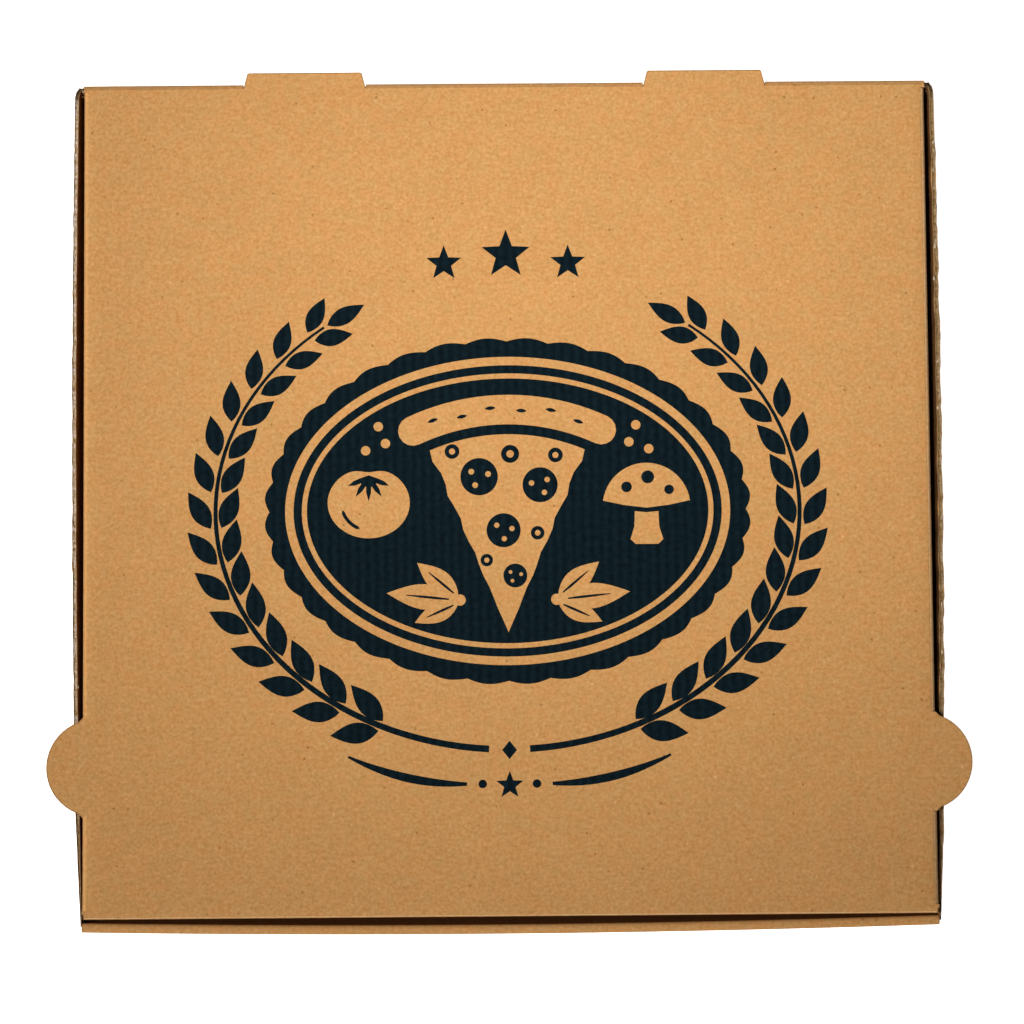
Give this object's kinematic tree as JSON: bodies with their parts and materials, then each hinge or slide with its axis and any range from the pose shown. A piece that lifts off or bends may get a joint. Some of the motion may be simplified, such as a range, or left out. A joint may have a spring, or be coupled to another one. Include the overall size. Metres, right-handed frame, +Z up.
{
  "type": "pizza box",
  "caption": "Closed square cardboard box for a pizza, folded from one sheet: tray with a roll-over front wall, and a hinged lid with half-round ears and rear tabs.",
  "frame": {"origin": "middle of the underside of the base, midway between the side walls and between the front and rear walls at the corners", "axes": "+Z up out of the box, -Y towards its front wall, +Y towards the lid's hinge crease, +X to the right seen from the front"},
  "size_m": [0.3246, 0.3053, 0.04],
  "materials": {
    "kraft_board": "matt brown kraft paper, lightly mottled",
    "print_ink": "matt blue-black printing ink on kraft paper"
  },
  "bodies": {
    "tray": {"tray": "kraft_board"},
    "lid": {"lid": "kraft_board"}
  },
  "joints": [
    {"name": "lid_hinge", "type": "hinge", "parent": "tray", "child": "lid", "pos_m": [0, 0.149, 0.03925], "axis": [-1, 0, 0], "range_deg": [0, 180]}
  ]
}
